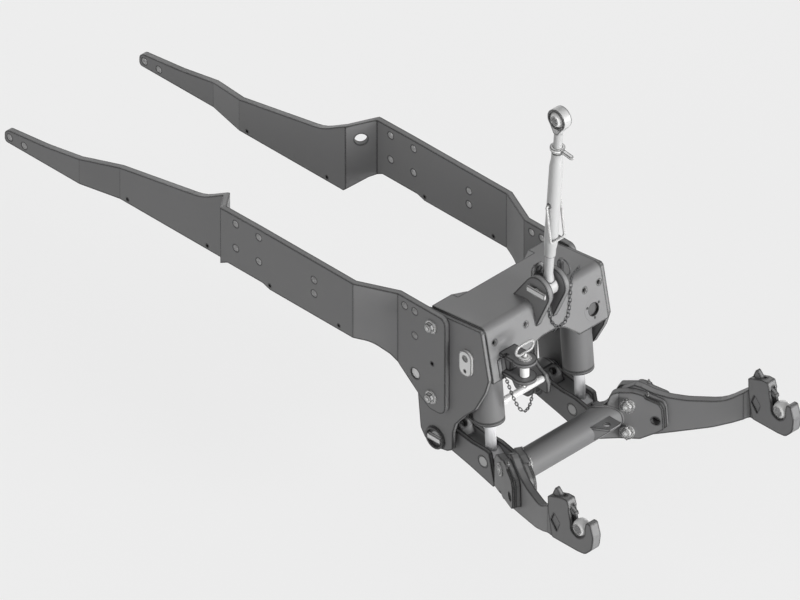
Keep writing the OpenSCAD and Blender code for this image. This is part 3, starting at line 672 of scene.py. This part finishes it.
def makeClevisClip(s):
    bm = bmesh.new()
    x, y, z = s["pin"]
    ring, coil, rod = s["ring"], s["coil"], s["rod"]
    r = ring["radius"]
    path = [Vector((x + r * math.cos(a), y + ring["aside"], z + ring["up"] + r * math.sin(a)))
            for a in angles(32)]
    addTube(bm, path, ring["wire"] / 2, 8, closed=True, side=(0, 1, 0))
    r, steps = coil["radius"], coil["steps"] * coil["turns"]
    path = []
    for k in range(steps + 1):
        a = 2 * math.pi * k / coil["steps"]
        up = coil["from"] + (coil["to"] - coil["from"]) * k / steps
        path.append(Vector((x + r * math.cos(a), y + coil["aside"] + r * math.sin(a), up)))
    addTube(bm, path, coil["wire"] / 2, 6, side=(0, 0, 1))
    lathe(bm, (x, y + coil["aside"], rod["from"]), (0, 0, 1), rod["profile"], 16)
    smoothed(newPiece("clevisClip", bm, chainSteel, "frame"), 35)


# Stop plate behind the top link, with its ring and its cross pin
stopPlate = {
    "x": 169, "thick": 5, "soft": 0.8,
    "outline": [(-26, 491), (26, 491), (26, 590), (23, 598), (16, 604), (0, 606), (-14, 604),
                (-22, 597), (-26, 588)],
    "ringAt": (174, 5, 583), "ring": [(7, 0), (12, 0), (12, 3), (10.5, 4), (8.5, 4), (7, 3)],
    "crossAt": (190, 30, 566), "cross": [(0, 0), (2.6, 0), (2.6, 46), (0, 46)],
}


def makeStopPlate(s):
    bm = bmesh.new()
    prism(bm, [(s["x"], y, z) for y, z in s["outline"]], (s["thick"], 0, 0))
    lathe(bm, s["ringAt"], (1, 0, 0), s["ring"], 28, closed=True)
    lathe(bm, s["crossAt"], (0, 1, 0), s["cross"], 12)
    softenEdges(newPiece("stopPlate", bm, thinPaint, "frame"), s["soft"])


makeTowPin(towPin)
makeClevisClip(clevisClip)
makeStopPlate(stopPlate)
print("clevis dressed")


# Top link, drawn along its own line: height from the clevis pin, radius from its axis
topLink = {"foot": (216, 0, 542), "lean": 4.25}
linkFoot = Vector(topLink["foot"])
linkLean = math.radians(topLink["lean"])
linkLine = Vector((math.sin(linkLean), 0, math.cos(linkLean)))
linkAhead = Vector((math.cos(linkLean), 0, -math.sin(linkLean)))
linkSide = Vector((0, 1, 0))


def onLink(ahead, side, up):
    return linkFoot + linkAhead * ahead + linkSide * side + linkLine * up


lowerScrew = {
    "eye": [(12.95, -25), (18, -25), (22, -19.5), (27, -19), (29, -17), (29, 17), (27, 19), (22, 19.5),
            (18, 25), (12.95, 25)],
    "rod": [(0, 24), (19, 24), (18, 32), (15.5, 44), (14, 52), (14, 268), (12, 270), (0, 270)],
}


def makeLowerScrew(s):
    bm = bmesh.new()
    lathe(bm, onLink(0, 0, 0), linkSide, s["eye"], 48, closed=True)
    lathe(bm, onLink(0, 0, 0), linkLine, s["rod"])
    obj = smoothed(newPiece("lowerScrewEnd", bm, zincPlate, "top_link_lower"), 35)
    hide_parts("lower_screw")


turnbuckle = {
    "from": 119,
    "barrel": [(16.4, 0), (17.6, 1.2), (17.6, 26), (20.6, 44), (21.6, 56), (21.6, 344), (20.6, 356),
               (17.6, 374), (17.6, 398.8), (16.4, 400), (14.1, 400), (14.1, 0)],
    "bossUp": 321, "bossOut": 20, "boss": [(0, 0), (7.5, 0), (7.5, 3.5), (6.5, 4.5), (0, 4.5)],
}


def makeTurnbuckle(s):
    bm = bmesh.new()
    lathe(bm, onLink(0, 0, s["from"]), linkLine, s["barrel"], 48, closed=True)
    for side in (1, -1):
        lathe(bm, onLink(0, side * s["bossOut"], s["bossUp"]), linkSide * side, s["boss"], 24)
    obj = smoothed(newPiece("turnbuckleBarrel", bm, zincPlate, "turnbuckle"), 40)
    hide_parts("turnbuckle_tube")


# Bail: from the boss out, round a small bend, down the leg and round the corner
bailWire = {"in": 20, "half": 30, "bend": 6, "leg": 130, "corner": 11, "tilt": 168, "radius": 4.3}


def makeBail(s):
    bm = bmesh.new()
    tilt = math.radians(s["tilt"])
    legLine = linkAhead * math.sin(tilt) + linkLine * math.cos(tilt)
    hinge = onLink(0, 0, turnbuckle["bossUp"])
    wide, leg, bend, corner = s["half"], s["leg"], s["bend"], s["corner"]
    half = [(s["in"], 0)]
    for k in range(5):
        a = math.radians(22.5 * k)
        half.append((wide - bend + bend * math.sin(a), bend - bend * math.cos(a)))
    for k in range(8):
        half.append((wide, 2 * bend + (leg - corner - 2 * bend) * k / 7))
    for k in range(1, 6):
        a = math.radians(18 * k)
        half.append((wide - corner + corner * math.cos(a), leg - corner + corner * math.sin(a)))
    both = half + [(-out, down) for out, down in reversed(half)]
    path = [hinge + linkSide * out + legLine * down for out, down in both]
    addTube(bm, path, s["radius"], 12, side=legLine)
    obj = smoothed(newPiece("bailWire", bm, brightZinc, "bail"))
    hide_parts("bail_handle")


# Lock nut: a stepped ring with a flat handle that droops a little
lockRing = {
    "from": 522,
    "ring": [(14.1, 0), (19, 0), (20, 1), (20, 7), (23, 7), (24, 8), (24, 16.5), (22.5, 18), (14.1, 18)],
    "handleFrom": 18, "handleReach": 66, "handleHalf": 6.5, "handleThick": 9, "handleUp": 7.5, "droop": 0.05,
}


def makeLockRing(s):
    bm = bmesh.new()
    lathe(bm, onLink(0, 0, s["from"]), linkLine, s["ring"], 48, closed=True)
    wide = s["handleHalf"]
    end = s["handleReach"] - wide
    outline = [(s["handleFrom"], -wide), (end, -wide)]
    for degrees in range(30, 180, 30):
        a = math.radians(degrees)
        outline.append((end + wide * math.sin(a), -wide * math.cos(a)))
    outline += [(end, wide), (s["handleFrom"], wide)]
    up = s["from"] + s["handleUp"]
    prism(bm, [onLink(a, b, up - a * s["droop"]) for a, b in outline], linkLine * s["handleThick"])
    obj = smoothed(newPiece("lockRing", bm, brightZinc, "lock_nut_body"), 35)
    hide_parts("lock_nut")


# Rings on the upper eye's faces, and the wedge below it
upperEye = {
    "up": 648, "half": 16, "sunk": 0.5,
    "ring": [(28.6, 0), (28.6, 2.4), (30.2, 2.4), (30.2, 1.2), (33.4, 1.2), (33.4, 0)],
    "wedge": [(-27, -24), (27, -24), (8, -54), (-8, -54)], "wedgeHalf": 15,
}


def makeEyeRings(s):
    bm = bmesh.new()
    for side in (1, -1):
        face = onLink(0, side * (s["half"] - s["sunk"]), s["up"])
        lathe(bm, face, linkSide * side, s["ring"], 56, closed=True)
    wedge = [onLink(ahead, -s["wedgeHalf"], s["up"] + up) for ahead, up in s["wedge"]]
    prism(bm, wedge, linkSide * 2 * s["wedgeHalf"])
    smoothed(newPiece("eyeRaces", bm, zincPlate, "top_link_upper"), 35)


# Bright bores of the three balls, each with a thin lip on its faces
hookBall = (795, 435, 154)  # the left one


def otherSide(point):
    return (point[0], -point[1], point[2])


ballLiners = [
    {"name": "upperBallLiner", "body": "top_ball", "at": onLink(0, 0, upperEye["up"]),
     "radius": 12.85, "half": 24.4},
    {"name": "leftBallLiner", "body": "ball_left", "at": hookBall,
     "radius": 14.35, "half": 21.9},
    {"name": "rightBallLiner", "body": "ball_right", "at": otherSide(hookBall),
     "radius": 14.35, "half": 21.9},
]
linerWall = {"seat": 0.05, "wall": 0.6, "lip": 1.6, "near": 0.1, "far": 0.5}


def makeBallLiner(s, wall):
    bm = bmesh.new()
    seat, inner, lip = s["radius"] - wall["seat"], s["radius"] - wall["wall"], s["radius"] + wall["lip"]
    half, near, far = s["half"], s["half"] + wall["near"], s["half"] + wall["far"]
    lathe(bm, s["at"], linkSide,
          [(seat, -half), (lip, -far), (lip, -near), (inner, -near), (inner, near), (lip, near), (lip, far),
           (seat, half)], closed=True)
    smoothed(newPiece(s["name"], bm, boreSteel, s["body"]), 35)


makeLowerScrew(lowerScrew)
makeTurnbuckle(turnbuckle)
makeBail(bailWire)
makeLockRing(lockRing)
makeEyeRings(upperEye)
for ball in ballLiners:
    makeBallLiner(ball, linerWall)
print("top link dressed")


# Cross tube, with ends cut to the inner link plates and the slanted brackets
crossTube = {"x": 282, "z": -10, "radius": 47.5, "wall": 10, "inner": 154.5, "bendX": 317, "bendGap": 55,
             "spread": 27, "sides": 72}


def tubeEnd(x, s):
    tail = s["bendX"] - s["bendGap"]
    if x < tail:
        return s["inner"]
    if x < s["bendX"]:
        return s["inner"] + x - tail
    return s["inner"] + s["bendGap"] + (x - s["bendX"]) * math.tan(math.radians(s["spread"]))


def endPoint(side, r, a, s, back=0):
    x = s["x"] + r * math.cos(a)
    return Vector((x, side * (tubeEnd(x, s) - back), s["z"] + r * math.sin(a)))


def makeCrossTube(s):
    bm = bmesh.new()
    outer, inner, n = s["radius"], s["radius"] - s["wall"], s["sides"]
    rings = [[bm.verts.new(endPoint(side, r, a, s) / 1000) for a in angles(n)]
             for r, side in ((outer, -1), (outer, 1), (inner, 1), (inner, -1))]
    for a, b in zip(rings, rings[1:] + rings[:1]):
        for k in range(n):
            bm.faces.new((a[k], a[(k + 1) % n], b[(k + 1) % n], b[k]))
    # the cross tube takes the cylinders' darker paint, which is painted shade
    obj = smoothed(newPiece("crossTube", bm, shadedCylinderPaint, "lift_frame"), 40)
    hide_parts("cross_tube")


# The one lug on the tube, by the left bracket: a holed plate on a sloping flank
tubeLug = {
    "low": 14, "thick": 8, "hole": (345, 129), "holeRadius": 11,
    "plan": [(300, 82), (319, 84), (365, 114), (370, 120), (370, 162), (366, 168), (300, 168)],
    "flank": [(306, 76, 21), (319, 84.2, 21), (366, 115.5, 21), (369, 117.8, 14), (331, 92, -24),
              (306, 76, -24)],
    "flankThick": (-4, 6, 0),
}


def makeTubeLug(s):
    bm = bmesh.new()
    (x, y), r, low = s["hole"], s["holeRadius"], s["low"]
    hole = [(x + r * math.cos(a), y + r * math.sin(a), low) for a in angles(28)]
    holedPlate(bm, [[(a, b, low) for a, b in s["plan"]], hole], (0, 0, s["thick"]))
    prism(bm, s["flank"], s["flankThick"])
    smoothed(newPiece("tubeLug", bm, thinPaint, "lift_frame"), 40)


# Weld beads round the tube's ends
tubeWelds = {"out": 0.6, "back": 1, "bead": 3.6, "wave": 0.35, "ripple": 2.4, "steps": 96}


def makeTubeWelds(tube, s):
    bm = bmesh.new()
    r, n = tube["radius"] + s["out"], s["steps"]
    beads = [s["bead"] + s["wave"] * math.sin(k * s["ripple"]) for k in range(n)]
    for side in (1, -1):
        path = [endPoint(side, r, a, tube, s["back"]) for a in angles(n)]
        addTube(bm, path, beads, 8, closed=True, side=(0, 1, 0))
    smoothed(newPiece("tubeWelds", bm, thinPaint, "lift_frame"))


# Pins of the folding brackets, placed along each bracket's own line
bracketPins = {
    "corner": (317, 209), "turn": 27, "radius": 14, "start": -20,
    "startChamfer": 2.5, "endChamfer": 2, "startDimple": (7, 7.6), "endDimple": (7.4, 8), "dimpleDeep": 1,
    "washer": 23, "washerPlay": 0.1, "washerChamfer": 1.2, "washerDish": (2.4, 3),
    "pins": [
        {"along": 29.5, "up": 49, "end": 86, "washers": [(0, -5), (80, 85)]},
        {"along": 29.5, "up": -49, "end": 72, "washers": [(0, -5)]},
    ],
}


def onBracket(side, along, away, up, s=bracketPins):
    turn = math.radians(s["turn"])
    x, y = s["corner"]
    return Vector((x + along * math.cos(turn) - away * math.sin(turn),
                   side * (y + along * math.sin(turn) + away * math.cos(turn)), up))


def pinProfile(end, s):
    r, start, deep = s["radius"], s["start"], s["dimpleDeep"]
    near, far = s["startChamfer"], s["endChamfer"]
    (a, b), (c, d) = s["startDimple"], s["endDimple"]
    return [(0, start + deep), (a, start + deep), (b, start), (r - near, start), (r, start + near),
            (r, end - far), (r - far, end), (d, end), (c, end - deep), (0, end - deep)]


def washerProfile(low, high, s):
    inner, outer, cut = s["radius"] + s["washerPlay"], s["washer"], s["washerChamfer"]
    floor, rim = (s["radius"] + out for out in s["washerDish"])
    dish = (low + 3 * high) / 4
    return [(inner, low), (outer, low), (outer, high - math.copysign(cut, high - low)), (outer - cut, high),
            (rim, high), (floor, dish), (inner, dish)]


def makeBracketPins(s):
    bm = bmesh.new()
    for side in (1, -1):
        outward = onBracket(side, 0, 1, 0) - onBracket(side, 0, 0, 0)
        for pin in s["pins"]:
            foot = onBracket(side, pin["along"], 0, pin["up"])
            lathe(bm, foot, outward, pinProfile(pin["end"], s))
            for low, high in pin["washers"]:
                lathe(bm, foot, outward, washerProfile(low, high, s), closed=True)
    obj = smoothed(newPiece("bracketPins", bm, brightZinc, "lift_frame"), 35)
    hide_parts("fold_pins", "lock_pins")


greaseNipples = {
    "at": [(394.5, 258, 92), (352, 305, 96)],
    "profile": [(0, 0), (5, 0), (5, 5), (2.4, 6), (2.4, 8), (3.4, 9.5), (2.6, 11.5), (0, 12)],
}


def makeGreaseNipples(s):
    bm = bmesh.new()
    for side in (1, -1):
        for x, y, z in s["at"]:
            lathe(bm, (x, side * y, z), (0, 0, 1), s["profile"], 16)
    smoothed(newPiece("greaseNipples", bm, brightZinc, "lift_frame"), 35)


makeCrossTube(crossTube)
makeTubeLug(tubeLug)
makeTubeWelds(crossTube, tubeWelds)
makeBracketPins(bracketPins)
makeGreaseNipples(greaseNipples)
print("lift frame dressed")


# Blind floor of the slanted window in each hook
hookWindow = {
    "centre": hookBall, "half": 12.5,
    "points": [(-103, 7), (-116, -24), (-92, -55), (-79, -19)],
}


def makeHookFloor(side, word, s):
    bm = bmesh.new()
    x, y, z = s["centre"]
    prism(bm, [(x + a, side * y - s["half"], z + b) for a, b in s["points"]], (0, 2 * s["half"], 0))
    newPiece(word + "HookFloor", bm, thinPaint, "arm_" + word)


makeHookFloor(1, "left", hookWindow)
makeHookFloor(-1, "right", hookWindow)
print("hooks dressed")


# Clevis cheeks, each one plate from the cover's bend up round the pin
clevisCheeks = {
    "centre": (216, 542), "radius": 50, "from": 144.4, "to": -24.2, "steps": 40, "bore": 12.9,
    "near": 26, "thick": 20,
    "base": [(211.9, 411), (208, 430), (204, 450), (200.1, 469), (196.5, 478.5), (189.2, 486),
             (180, 490.4), (168, 491.2), (145, 488.7), (114, 485.4)],
}


def makeClevisCheeks(s):
    bm = bmesh.new()
    cx, cz = s["centre"]

    def around(r, a):
        return (cx + r * math.cos(math.radians(a)), cz + r * math.sin(math.radians(a)))

    n = s["steps"]
    sweep = s["to"] - s["from"]
    outline = s["base"] + [around(s["radius"], s["from"] + sweep * k / n) for k in range(n + 1)]
    bore = [around(s["bore"], 360 * k / 32) for k in range(32)]
    for y in (s["near"], -s["near"] - s["thick"]):
        holedPlate(bm, [[(x, y, z) for x, z in loop] for loop in (outline, bore)], (0, s["thick"], 0))
    obj = smoothed(newPiece("clevisCheeks", bm, darkPaint, "frame"), 35)
    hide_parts("clevis_cheek_right", "clevis_cheek_left")


# Weld beads where the clevis cheeks stand on the cover
cheekWelds = {
    "path": [(120, 486), (145, 488.7), (168, 491.2), (180, 490.4), (189.2, 486), (196.5, 478.5),
             (200.1, 469), (204, 450), (208, 430), (211, 415)],
    "sides": (25.6, 46.4), "step": 2.5, "bead": 2.6, "wave": 0.3, "ripple": 2.1,
}


def makeCheekWelds(s):
    bm = bmesh.new()
    for side in (1, -1):
        for y in s["sides"]:
            path = throughPoints([(x, side * y, z) for x, z in s["path"]], s["step"])
            beads = [s["bead"] + s["wave"] * math.sin(k * s["ripple"]) for k in range(len(path))]
            addTube(bm, path, beads, 8, side=(0, 1, 0))
    smoothed(newPiece("cheekWelds", bm, thinPaint, "frame"))


makeClevisCheeks(clevisCheeks)
makeCheekWelds(cheekWelds)
print("clevis cheeks welded on")
